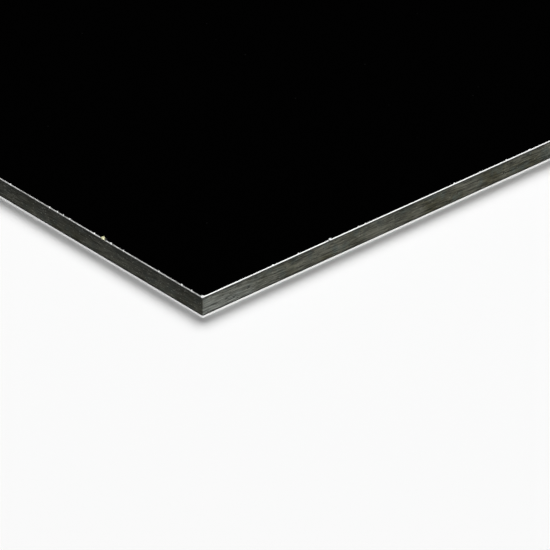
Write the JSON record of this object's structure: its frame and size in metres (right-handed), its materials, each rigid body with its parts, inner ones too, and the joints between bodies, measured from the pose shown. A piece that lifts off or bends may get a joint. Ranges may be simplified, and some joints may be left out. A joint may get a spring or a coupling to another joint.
{
  "type": "aluminium composite panel",
  "caption": "Flat rectangular sandwich panel: thin black lacquered aluminium skins bonded to a black polyethylene core, with square sawn edges.",
  "frame": {"origin": "centre of the panel's underside, which is the back skin's outer face", "axes": "+X along the length, +Y across the width, +Z out of the front skin"},
  "size_m": [0.297, 0.21, 0.003],
  "materials": {
    "front_lacquered_aluminium": "gloss",
    "polyethylene_core": "matte",
    "back_lacquered_aluminium": "satin"
  },
  "bodies": {
    "root": {"front_skin": "front_lacquered_aluminium", "core": "polyethylene_core", "back_skin": "back_lacquered_aluminium"}
  },
  "joints": []
}
